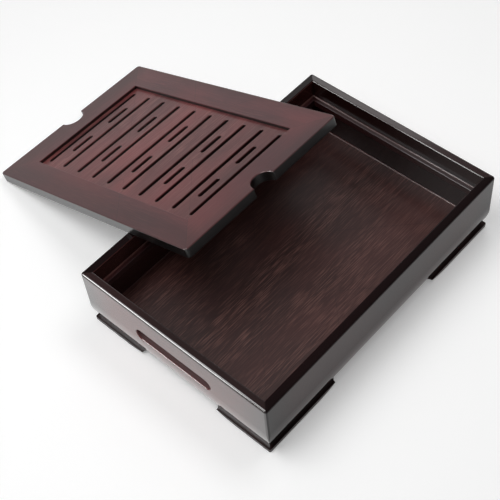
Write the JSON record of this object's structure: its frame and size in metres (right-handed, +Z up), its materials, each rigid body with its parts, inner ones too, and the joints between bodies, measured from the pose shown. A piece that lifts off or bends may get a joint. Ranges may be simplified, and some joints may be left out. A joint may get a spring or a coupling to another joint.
{
  "type": "gongfu tea tray",
  "caption": "Rectangular lacquered tea tray on low corner feet, with a slotted drain lid taken off and leaned over one long rim.",
  "frame": {"origin": "on the table, under the middle of the whole object's box, with the leaning lid counted; the tray's own centre is 84.9 mm along +X from it", "axes": "+Z up; +Y along the tray's long side, towards its back short wall; +X across the tray, from the side where the lid leans towards the free long wall"},
  "size_m": [0.3558, 0.27, 0.0945],
  "materials": {
    "wall_lacquer": "satin dark brown lacquer on bamboo",
    "floor_lacquer": "gloss red-brown lacquer over streaked bamboo",
    "ledge_lacquer": "gloss dark red-brown lacquer",
    "foot_lacquer": "satin near-black brown lacquer",
    "rail_lacquer": "satin mahogany brown lacquer on bamboo",
    "panel_lacquer": "satin mahogany brown lacquer on bamboo"
  },
  "bodies": {
    "tray": {"base_board": "floor_lacquer", "wall_left": "wall_lacquer", "wall_right": "wall_lacquer", "wall_front": "wall_lacquer", "wall_back": "wall_lacquer", "ledge_left": "ledge_lacquer", "ledge_right": "ledge_lacquer", "ledge_front": "ledge_lacquer", "ledge_back": "ledge_lacquer", "foot_front_left_long_arm": "foot_lacquer", "foot_front_left_short_arm": "foot_lacquer", "foot_front_right_long_arm": "foot_lacquer", "foot_front_right_short_arm": "foot_lacquer", "foot_back_left_long_arm": "foot_lacquer", "foot_back_left_short_arm": "foot_lacquer", "foot_back_right_long_arm": "foot_lacquer", "foot_back_right_short_arm": "foot_lacquer"},
    "lid": {"lid_end_rail_low": "rail_lacquer", "lid_end_rail_high": "rail_lacquer", "lid_side_rail_front": "rail_lacquer", "lid_side_rail_back": "rail_lacquer", "slotted_panel": "panel_lacquer"}
  },
  "joints": [
    {"name": "lid_lift", "type": "slide", "parent": "tray", "child": "lid", "axis": [0, 0, 1], "range_m": [0, 0.08]}
  ]
}
